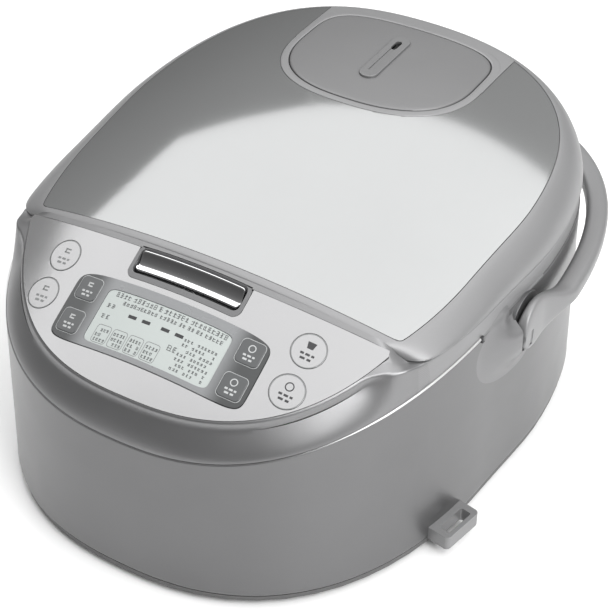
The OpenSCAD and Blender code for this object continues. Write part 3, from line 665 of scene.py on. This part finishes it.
def seam_prism(gap, ahead):
    xs = np.arange(-150, 151, 4.0)
    far = -230 if ahead else 230
    pts = [(x, float(seam_at(x)) + gap) for x in xs] + [(150, far), (-150, far)]
    return prism(pts, 50, 190)


def disc_cut(r, z0, z1, x=0.0, y=POT_Y):
    t = angles(192)
    return prism(np.stack([x + r * np.cos(t), y + r * np.sin(t)], 1), z0, z1)


def film_area(inset, gap):
    """The control panel's footprint: the body's outline in front of the seam."""
    corner = 0.8
    t = np.radians(np.linspace(180, 360, 241))
    p = edge(inset, 1, t)
    front = [q for q in p if q[1] < seam_at(q[0]) + gap - corner]
    right, left = front[-1], front[0]
    xs = np.linspace(right[0] - corner, left[0] + corner, 60)
    back = [(x, float(seam_at(x)) + gap) for x in xs]
    return np.array(front + back)


def layer(outline, low, high, step=6.0):
    return slab(outline, lambda x, y: panel_top(x, y) + low,
                lambda x, y: panel_top(x, y) + high, step)


nose = dome(frame_rings(0.5, nose_top, 0.9), (0, -20, 80), (0, -20, float(nose_top(0, -20))))
nose = carve(nose, ("DIFFERENCE", prism(lid_edge(-0.3, -0.2), 50, 190)),
             ("INTERSECT", block((-150, -200, 60), (150, -68, 190))))
NOSE_WALL = 3.8
foot = edge(WALL + 6, 1)
hollow = [at(foot, 60), at(foot, 90)]
for s in (1.0, 0.9, 0.75, 0.5, 0.25):
    p = shrunk(foot, FRAME_MID, s)
    hollow.append(at(p, nose_top(*p.T) - NOSE_WALL))
hollow = dome(hollow, (0, -20, 60), (0, -20, float(nose_top(0, -20)) - NOSE_WALL))
hollow = carve(hollow, ("INTERSECT", seam_prism(-0.4 - WALL, True)))
nose = cut(nose, hollow, layer(film_area(FASCIA, -2.8), -FILM, 12),
           block((-31.6, BUTTON_Y - 6.9, 100), (31.6, BUTTON_Y + 6.9, 180)))
piece("frame_nose", nose, "main", ["upper_frame"], material=SHADED_NOSE_GREY)

ring_part = dome(frame_rings(0.5, deck_top, 1.0), (0, -20, 80), (0, -20, DECK_Z))
inner = dome([at(edge(WALL + 0.3, 1), 60), at(edge(WALL + 0.3, 1), 90),
              at(edge(WALL + 0.3, 1), DECK_Z - 2.6)], (0, -20, 60), (0, -20, DECK_Z - 2.6))
ring_part = carve(ring_part, ("DIFFERENCE", inner), ("INTERSECT", seam_prism(-0.5, False)),
                  ("DIFFERENCE", disc_cut(OPENING, 90, 140)),
                  ("DIFFERENCE", block((-HINGE_X - KNUCKLE, 131, 113),
                                       (HINGE_X + KNUCKLE, 170, 140))),
                  ("DIFFERENCE", block((-9, -84, 110), (9, -77.2, 130))),
                  ("DIFFERENCE", block((-81, 140.5, 118.5), (81, 170, 140))))
piece("frame_deck", ring_part, "main", material=GREY)

# ---- Control panel ----
KEY_X, KEY_ROWS = 70.5, (-102.3, -121.6)
SQ_X, SQ_ROWS = 46.5, (-115.0, -131.0)


def on_panel(x, y):
    """The frame of a key: origin on the panel, +Z outwards."""
    return (Matrix.Translation((x * MM, (y + MID) * MM, float(panel_top(x, y)) * MM))
            @ Matrix.Rotation(TILT, 4, "X")
            @ Matrix.Rotation(math.atan(2 * CROWN * x * math.cos(TILT)), 4, "Y"))


def local(outline, z0, z1, place):
    """A prism in a key's own frame."""
    bm = bmesh.new()
    rows = [[bm.verts.new((p[0] * MM, p[1] * MM, z * MM)) for p in outline] for z in (z0, z1)]
    n = len(outline)
    for i in range(n):
        j = (i + 1) % n
        bm.faces.new((rows[0][i], rows[0][j], rows[1][j], rows[1][i]))
    bm.faces.new(rows[0])
    bm.faces.new(rows[1])
    return moved(bm, place)


def circle(r, n=96, x=0.0, y=0.0):
    t = angles(n)
    return np.stack([x + r * np.cos(t), y + r * np.sin(t)], 1)


def bezel_outline(grow=0.0):
    return oval(55.2 + grow, 16.8 + grow, 16 + grow, 9, 9, -123.3)


def window_outline(grow=0.0):
    return oval(35.6 + grow, 12.9 + grow, 12.8 + grow, 14, 14, -124.6)


keys = [(kind, k + 1, (-1, 1)[k % 2] * far, rows[k // 2])
        for kind, far, rows in (("round", KEY_X, KEY_ROWS), ("square", SQ_X, SQ_ROWS))
        for k in range(4)]

film = layer(film_area(FASCIA + 0.25, -3.0), -FILM, 0)
film = cut(film, prism(bezel_outline(0.15), 60, 180),
           prism(round_rect(65.5, 60, 3.5, 6, 0, -74), 60, 180),
           *[local(circle(8.95), -6, 6, on_panel(x, y))
             for kind, k, x, y in keys if kind == "round"])
piece("fascia_film", rounded(film, 0.18, 2, 50), "main", ["fascia_panel"],
      material=FILM_M)

bezel = layer(bezel_outline(-0.1), -FILM, 0.45, 2.5)
bezel = cut(bezel, prism(window_outline(0.1), 60, 180),
            *[local(round_rect(13.0, 13.0, 2.6), -8, 8, on_panel(x, y))
              for kind, k, x, y in keys if kind == "square"])
piece("display_surround", rounded(bezel, 0.2, 2, 50), "main", ["lcd_bezel"],
      material=BEZEL)
piece("display_face", layer(window_outline(-0.05), -1.0, 0.15), "main", ["lcd_window"],
      material=DISPLAY)

for kind, k, x, y in keys:
    place = on_panel(x, y)
    body = "%s_key_%d" % (kind, k)
    node = "key_%s_%d" % (kind, k)
    if kind == "round":
        cap = rounded(local(circle(8.72), -2.6, 0.0, place), 0.15, 2, 50)
        stem = local(circle(2, 32), -3.4, -2.5, place)
        piece("round_cap_%d" % k, merged(cap, stem), body, [node],
              material=FILM_M)
        band = local(circle(8.6), -0.4, 0.03, place)
        band = cut(band, local(circle(8.15), -1, 1, place))
        piece("round_ring_%d" % k, band, body, material=PRINT_MID)
    else:
        cap = rounded(local(round_rect(12.5, 12.5, 2.5), -2.6, 0.9, place), 0.45, 3, 50)
        stem = local(circle(2, 32), -6.8, -2.5, place)
        piece("square_cap_%d" % k, merged(cap, stem), body, [node],
              material=KEY_DARK)
        frame_line = local(round_rect(13.0, 13.0, 2.6), 0.2, 0.5, place)
        frame_line = cut(frame_line, local(round_rect(12.56, 12.56, 2.5), -1, 2, place))
        piece("square_line_%d" % k, frame_line, "main",
              material=PRINT_LIGHT)

# Printed marks on the keys: plain shapes, no lettering. Each bar is (x, y, width).
BARS = ((-2.6, -1.9, 1.9), (0.3, -1.9, 2.3), (3.0, -1.9, 1.5), (-1.4, -4.2, 2.6), (1.9, -4.2, 2.0))


def marks(place, z, icon, scale=1.0):
    def mark(outline):
        return local(outline, z - 0.2, z + 0.03, place)

    def bar(x, y, w, h):
        return mark(round_rect(w * scale, h * scale, 0.2, 2, x * scale, y * scale))

    parts = [bar(x, y, w, 1.15) for x, y, w in BARS]
    if icon == "ring":
        hole = local(circle(1.7 * scale, 48, 0, 2.6 * scale), z - 1, z + 1, place)
        parts.append(cut(mark(circle(2.3 * scale, 48, 0, 2.6 * scale)), hole))
    elif icon == "cup":
        cup = [(-1.5, 1.0), (1.5, 1.0), (2.3, 4.4), (-2.3, 4.4)]
        parts.append(mark([(x * scale, y * scale) for x, y in cup]))
    else:
        parts += [bar(0, 3.6, 3.4, 0.8), bar(0, 1.7, 3.4, 0.8), bar(-1.2, 2.6, 0.8, 2.2)]
    return merged(*parts)


for kind, k, x, y in keys:
    body = "%s_key_%d" % (kind, k)
    if kind == "round":
        icon = ("lines", "cup", "lines", "ring")[k - 1]
        tone = (PRINT_MID, PRINT_DARK, PRINT_MID, PRINT_DARK)[k - 1]
        piece("round_mark_%d" % k, marks(on_panel(x, y), 0.0, icon), body,
              material=tone)
    else:
        icon = ("lines", "ring", "lines", "ring")[k - 1]
        piece("square_mark_%d" % k, marks(on_panel(x, y), 0.9, icon, 0.85), body,
              material=PRINT_LIGHT)


# Marks on the display: four dashes and rows of small plain blocks
def spot(x, y, w, h, lift=0.17, r=0.12):
    return layer(round_rect(w, h, min(r, w / 3, h / 3), 2, x, y), -0.2, lift, 50)


dashes = [spot(x, -121.2, 4.6, 1.5) for x in (-16.5, -8.5, 2.5, 10.5)]
piece("display_dashes", merged(*dashes), "main", material=PRINT_DARK)
rng = np.random.default_rng(7)


def cell(x, y, w, h, n):
    """A few short strokes in a small box: reads as a printed sign, spells nothing."""
    out = []
    for k in range(n):
        if k % 2 == 0:
            out.append(spot(x + float(rng.uniform(-0.1, 0.1)) * w,
                            y + h * (k / max(1, n - 1) - 0.5) * 0.85,
                            w * float(rng.uniform(0.6, 0.95)), 0.34, 0.17, 0.05))
        else:
            out.append(spot(x + float(rng.uniform(-0.35, 0.35)) * w, y, 0.36,
                            h * float(rng.uniform(0.6, 1.0)), 0.175, 0.05))
    return out


BOX_XS, BOX_Y = (-27.2, -17.8, -8.4, 1.0), -132.6
small = []
for y, x0, x1, w, h in ((-113.6, -31, 32, 2.0, 2.2), (-116.6, -25, 32.5, 1.7, 1.7)):
    x = x0
    while x < x1:
        small += cell(x + w / 2, y, w, h, int(rng.integers(4, 6)))
        x += w + (0.35 if rng.uniform() < 0.75 else 1.2)
for x in BOX_XS:
    for y in (-130.6, -133.0, -135.2):
        for dx in (-2.6, -0.9, 0.9, 2.6):
            if rng.uniform() < 0.9:
                small += cell(x + dx, y, 1.4, 1.6, 4)
for y in np.arange(-135.2, -119.5, 2.25):
    for x in np.arange(14.5, 32, 1.9):
        if rng.uniform() < 0.88:
            small += cell(x, float(y), 1.4, 1.3, 4)
for y in (-119.4, -124.6):
    for x in (-31.6, -29.0):
        small += cell(x, y, 2.0, 1.9, 5)
small += cell(9.0, -127.6, 3.0, 2.6, 5) + cell(12.0, -127.6, 2.0, 2.6, 5)
piece("display_marks", merged(*small), "main", material=PRINT_MARK)
boxes = []
for x in BOX_XS:
    hole = prism(round_rect(7.8, 8.0, 1.2, 3, x, BOX_Y), 60, 180)
    boxes.append(cut(spot(x, BOX_Y, 8.4, 8.6, 0.165, 1.4), hole))
piece("display_boxes", merged(*boxes), "main", material=PRINT_MID)

# ---- Release button and its pocket ----
bar = []
# Across the bar: an upper ridge, a hollow face and a lower roll; (along the slope, above it)
profile = [(-5.7, -5.8), (-5.7, -2.0), (-5.3, -0.9), (-4.9, -0.4), (-4.4, -0.15), (-3.9, -0.25),
           (-3.4, -0.7), (-3.0, -1.3), (-2.6, -2.0), (-2.0, -2.4), (-1.0, -2.2), (0.6, -1.5),
           (2.2, -0.6), (3.6, 0.25), (4.5, 0.9), (5.1, 1.2), (5.5, 1.05), (5.8, 0.5),
           (5.9, -0.6), (5.9, -5.8)]
for x in np.r_[-29.4, -29.1, -28.4, np.linspace(-27, 27, 14), 28.4, 29.1, 29.4]:
    shrink = 1 - 0.2 * max(0.0, (abs(x) - 28.0) / 1.4) ** 2
    bar.append([(x, BUTTON_Y + s * shrink * math.cos(TILT) - h * shrink * math.sin(TILT),
                 float(panel_top(x, BUTTON_Y)) + s * shrink * math.sin(TILT)
                 + h * shrink * math.cos(TILT)) for s, h in profile])
stem = [[(r * math.cos(a), BUTTON_Y + r * math.sin(a), z) for a in angles(48)]
        for r, z in ((3, 133.2), (3, 126), (1.5, 126), (1.5, 120.7))]
piece("release_bar", merged(loft(bar), loft(stem)), "button", ["release_button"],
      material=CHROME, sharp=50)
tray = cut(layer(round_rect(62.9, 13.5, 3.2, 6, 0, BUTTON_Y), -11, 0.0, 8),
           prism(round_rect(60.4, 11.4, 2.4, 6, 0, BUTTON_Y), 129.4, 170))
piece("button_tray", rounded(tray, 0.5, 2, 60), "main", ["button_pocket"],
      material=POCKET)
lip = layer(round_rect(65.2, 16.0, 4.2, 6, 0, BUTTON_Y - 0.6), -0.6, 0.35)
lip = carve(lip, ("DIFFERENCE", prism(round_rect(61.2, 12.2, 2.8, 6, 0, BUTTON_Y), 60, 180)),
            ("INTERSECT", seam_prism(-2.9, True)))
piece("pocket_lip", rounded(lip, 0.25, 2, 50), "main", material=LIP)

# ---- Lid ----
SHARE = front_share()


def lid_ring(inset, gap, rise, drop=0.0):
    p = lid_edge(inset, gap)
    share = SHARE * (1 - smooth(99, 111, np.abs(p[:, 0])))
    f = rise + (1 - rise) * share
    roll = 1.5 * share * (1 - rise ** 0.5)
    return at(p, LID_Z + (lid_top(p[:, 0], p[:, 1]) - drop - roll - LID_Z) * f)


def on_lid(points, drop):
    return at(points, lid_top(points[:, 0], points[:, 1]) - drop)


def lid_disc(inset, gap, drop, shares, p=26):
    base = lid_edge(inset, gap, p)
    return [on_lid(shrunk(base, LID_MID, s), drop) for s in shares]


def rise(u):
    return math.sqrt(max(0.0, 1 - (1 - u) ** 2))


def cap_outline(grow):
    return oval(CAP_W - RIM + grow, CAP_F - RIM + grow, CAP_R - RIM + grow, 2.3, 5, CAP_Y, 240)


inward = 1 - np.cos(np.radians(np.linspace(2, 90, 22)))
outer = [at(lid_edge(0.5, 0.7), LID_Z + 0.02), at(lid_edge(0.12, 0.5), LID_Z + 0.15),
         at(lid_edge(0, 0.4), LID_Z + 0.5)]
outer += [np.maximum(lid_ring(u * SHOULDER, 0.4 + 4 * u, rise(u)),
                     np.array([-1e9, -1e9, LID_Z + 0.6])) for u in inward]
top_shares = (1, 0.985, 0.93, 0.85, 0.75, 0.65, 0.55, 0.45, 0.35, 0.25, 0.15)
outer += lid_disc(SHOULDER, 4.4, 0, top_shares[1:])
peak = (0, 20, float(lid_top(0, 20)))
shell = dome(outer, (0, 20, LID_Z), peak)
under = [at(lid_edge(WALL, 0.4 + WALL), LID_Z - 3)]
under += [lid_ring(WALL + u * (SHOULDER - WALL), 0.4 + WALL + 2 * u, rise(u), WALL + 1)
          for u in (0.02, 0.1, 0.3, 0.6, 1)]
under += lid_disc(SHOULDER, 4.4, WALL + 1, (0.8, 0.6, 0.4, 0.2))
inside = dome(under, (0, 20, LID_Z - 3), (0, 20, peak[2] - WALL - 1))
inside = cut(inside, block((-150, HINGE_Y + 6.7, 90), (150, 200, 190)))


def sheet_space(gap, low, high, *holes):
    body = dome([*lid_disc(SHOULDER + gap, 4.4 + gap, low, top_shares[::-1], 90),
                 *lid_disc(SHOULDER + gap, 4.4 + gap, high, top_shares, 90)],
                (0, 20, peak[2] - low), (0, 20, peak[2] - high))
    return cut(body, block((-CAP_W - gap, CAP_Y, 120), (CAP_W + gap, 190, 180)), *holes)


shell = cut(shell, block((-150, HINGE_Y + 9.1, 90), (150, 200, 190)), inside,
            sheet_space(0, 1.0, -3), prism(cap_outline(1), 110, 180),
            rod_cut(11.65, -HINGE_X - 0.3, HINGE_X + 0.3),
            rod_cut(13, HINGE_X, HINGE_X + KNUCKLE), rod_cut(13, -HINGE_X - KNUCKLE, -HINGE_X))
piece("lid_shell", shell, "lid", ["lid_cover"], material=GREY)
sheet = sheet_space(0.35, 0.98, 0.05, prism(cap_outline(RIM), 120, 180))
piece("lid_sheet", rounded(sheet, 0.22, 2, 50), "lid", ["lid_panel"],
      material=LID_METAL)

# Seat of the steam cap: a raised rim with rounded edges and the walls of its pocket
seat = [on_lid(cap_outline(RIM - 0.25), 0.95), on_lid(cap_outline(RIM - 0.25), 0.15),
        on_lid(cap_outline(RIM - 0.45), -0.05), on_lid(cap_outline(RIM - 1.2), -0.12),
        on_lid(cap_outline(1.5), -0.1), on_lid(cap_outline(0.9), 0.0),
        on_lid(cap_outline(0.6), 0.25), on_lid(cap_outline(0.5), 0.9),
        on_lid(cap_outline(0.35), 4), on_lid(cap_outline(-1), 4),
        at(cap_outline(-1), 137.5), at(cap_outline(-20), 137.5), at(cap_outline(-20), 136),
        at(cap_outline(0.9), 136), on_lid(cap_outline(0.9), 0.95)]
piece("steam_seat", loft(seat, closed=True), "lid", material=GREY)
seat_floor = cut(prism(cap_outline(-19), 136.02, 137.48), disc_cut(12, 120, 150, 0, CAP_Y))
piece("steam_seat_floor", seat_floor, "lid", ["steam_socket"], material=GREY)

# Steam cap: crowned plate, soft edge, raised tongue with its slot
cap_rings = [on_lid(shrunk(cap_outline(0), CAP_MID, s), 3) for s in (0.3, 0.6, 0.85)]
cap_rings += [on_lid(cap_outline(0), 3), on_lid(cap_outline(0), 0.6),
              on_lid(cap_outline(-0.15), 0.15), on_lid(cap_outline(-0.6), -0.15),
              on_lid(cap_outline(-1.3), -0.28)]
cap_rings += [on_lid(shrunk(cap_outline(-1.3), CAP_MID, s), -0.28 - 0.05 * (1 - s))
              for s in (0.93, 0.85, 0.7, 0.5, 0.3)]
cap_mesh = dome(cap_rings, (0, CAP_Y, float(lid_top(0, CAP_Y)) - 3),
                (0, CAP_Y, float(lid_top(0, CAP_Y)) + 0.33))


def steam_slot():
    return prism(round_rect(3.6, 8.5, 1.7, 6, 0, SLOT_Y), 150, 190)


groove = slab(round_rect(2.6, 34, 1.2, 6, 0, TONGUE_Y), lambda x, y: lid_top(x, y) + 0.9,
              lambda x, y: lid_top(x, y) + 9, 6)
tongue = [on_lid(round_rect(11 - 2 * i, 46 - 2 * i, 5.4 - i, 10, 0, TONGUE_Y), -z)
          for i, z in ((0, -1.0), (0, 0.9), (0.25, 1.35), (0.8, 1.6))]
tongue = cut(loft(tongue), groove, steam_slot())
cap_mesh = cut(cap_mesh, steam_slot())
skirt = lathe([(24, 150), (26, 150), (26, 161.5), (24, 161.5)], 0, CAP_Y)
piece("steam_lid", merged(cap_mesh, skirt), "steam", ["steam_cap"], material=CAP)
piece("steam_tongue", tongue, "steam", material=CAP)

# ---- Handle: a strap swept round the back, thinner at its eyes ----
def strap():
    """Half the strap is worked out and mirrored; its ends are as round as the eyes."""
    half = [(-d, EYE_R * math.sqrt(1 - (d / EYE_R) ** 2))
            for d in EYE_R * np.cos(np.radians(np.linspace(6, 84, 14)))]
    half += [(oy, 0) for oy in np.arange(0, 60, 2)]
    half += [(REACH * float(spow(math.sin(t), 2 / 2.6)), 0)
             for t in np.radians(np.linspace(14.5, 90, 44))]
    sections = []
    for side in (1, -1):
        stations = half if side > 0 else half[-2::-1]
        for oy, tall in stations:
            py = max(oy, 0) / REACH
            px = side * (1 - min(py, 1) ** 2.6) ** (1 / 2.6)
            ox = HANDLE_X * px
            thin = float(smooth(6, 36, oy))
            tall = tall or 5 + (EYE_R - 5) * (1 - float(smooth(0, 34, oy)))
            w = 7 + 5 * thin
            fx = (HANDLE_X - 7.6 * (1 - thin) - w / 2) / HANDLE_X
            fy = (REACH - w / 2) / REACH if oy > 0 else 1
            n = np.array([float(spow(px, 1.6)) / HANDLE_X, float(spow(py, 1.6)) / REACH])
            n /= np.linalg.norm(n)
            ring = []
            for a in angles(32):
                u = w / 2 * float(spow(math.cos(a), 0.62))
                v = tall * float(spow(math.sin(a), 0.72))
                ring.append((ox * fx + n[0] * u, PIVOT_Y + oy * fy + n[1] * u, PIVOT_Z + v))
            sections.append(ring)
    return loft(sections)


bail = strap()
for side in (1, -1):
    dimple = moved(block((-1.5, -1.2, -5.2), (1.5, 1.2, 5.2)),
                   Matrix.Translation((side * 139 * MM, (PIVOT_Y - 6.6) * MM,
                                       (PIVOT_Z - 3.5) * MM)))
    bail = cut(bail, rounded(dimple, 0.9, 4, 50),
               tube_x(4.08, side * 120, side * 138.45, PIVOT_Y, PIVOT_Z, 64))
piece("handle_strap", bail, "handle", ["handle_bail"], material=GREY, sharp=45)

# ---- Spoon bracket ----
turn = (Matrix.Translation((126.1 * MM, (-58.5 + MID) * MM, 0))
        @ Matrix.Rotation(math.radians(-10.7), 4, "Z"))
loop = local(round_rect(15, 26, 2.5, 6, 4.5, 0), 6, 14.3, turn)
loop = cut(loop, local(round_rect(6.2, 18, 1.2, 4, 6.4, 0), 0, 30, turn),
           prism(edge(0.4, FLARE), 0, 30))
piece("spoon_loop", rounded(loop, 0.5, 3, 50), "main", ["spoon_bracket"],
      material=GREY)

# ---- CAD nodes that stay: smooth their curved faces by angle ----
for name, o in NODES.items():
    if not o.hide_render:
        o.data.shade_smooth()
        smooth_mod = o.modifiers.new("edges", "EDGE_SPLIT")
        smooth_mod.split_angle = math.radians(30)

# ---- Stage, light and camera ----
bpy.ops.mesh.primitive_plane_add(size=8, location=(0, 0, 0))
ground = bpy.context.object
ground.name = "ground"
ground.data.materials.append(material("ground", (0.93, 0.93, 0.93), 0.35, grain=30, bump=0.0,
                                      tint=0.01, vary=0.02, cloud=2.0))

world = bpy.data.worlds.new("studio")
bpy.context.scene.world = world
bpy.context.scene.view_settings.view_transform = "Standard"
world.use_nodes = True
sky = world.node_tree
sky.nodes["Background"].inputs[0].default_value = (1, 1, 1, 1)
towards = sky.nodes.new("ShaderNodeTexCoord")
split = sky.nodes.new("ShaderNodeSeparateXYZ")
sky.links.new(towards.outputs["Generated"], split.inputs[0])
# The room's brightness is a product of ramps: (axis, from, to, first strength, last strength)
RAMPS = ((2, 0.0, 0.75, 0.24, 0.66), (1, -0.9, 0.1, 0.25, 1.0), (0, -0.2, 0.9, 1.0, 1.6))
levels = []
for axis, lo, hi, first, last in RAMPS:
    ramp = sky.nodes.new("ShaderNodeMapRange")
    ramp.interpolation_type = "SMOOTHSTEP"
    for key, value in (("From Min", lo), ("From Max", hi), ("To Min", first), ("To Max", last)):
        ramp.inputs[key].default_value = value
    sky.links.new(split.outputs[axis], ramp.inputs["Value"])
    levels.append(ramp)
strength = levels[0]
for other in levels[1:]:
    product = sky.nodes.new("ShaderNodeMath")
    product.operation = "MULTIPLY"
    sky.links.new(strength.outputs[0], product.inputs[0])
    sky.links.new(other.outputs[0], product.inputs[1])
    strength = product
sky.links.new(strength.outputs[0], sky.nodes["Background"].inputs[1])


def softbox(name, place, aim, size, power):
    light = bpy.data.lights.new(name, "AREA")
    light.shape = "RECTANGLE"
    light.size, light.size_y = size
    light.energy = power
    o = bpy.data.objects.new(name, light)
    bpy.context.scene.collection.objects.link(o)
    o.location = place
    o.rotation_euler = (Vector(aim) - Vector(place)).to_track_quat("-Z", "Y").to_euler()


softbox("overhead", (-0.53, 0.364, 1.4), (-0.53, 0.364, 0), (2.45, 1.95), 24)
softbox("front_right", (1.05, -0.5, 1.0), (0.5, -0.35, 0), (1.1, 1.1), 21)

AZ, EL, ROLL = math.radians(30.976), math.radians(38.848), math.radians(0.262)
back = Vector((math.sin(AZ) * math.cos(EL), -math.cos(AZ) * math.cos(EL), math.sin(EL)))
target = Vector((-2.288, 14.837 + MID, 46.317)) * MM
DISTANCE, LENS = 0.956084, 100.96994
camera = bpy.data.cameras.new("camera")
camera.lens = LENS
camera.sensor_width = 36
camera.clip_start = 0.05
view = bpy.data.objects.new("camera", camera)
bpy.context.scene.collection.objects.link(view)
view.location = target + back * DISTANCE
level = Vector((math.cos(AZ), math.sin(AZ), 0))
up = back.cross(level)
across = level * math.cos(ROLL) + up * math.sin(ROLL)
upward = up * math.cos(ROLL) - level * math.sin(ROLL)
view.matrix_world = Matrix.Translation(view.location) @ Matrix(
    (across, upward, back)).transposed().to_4x4()
bpy.context.scene.camera = view
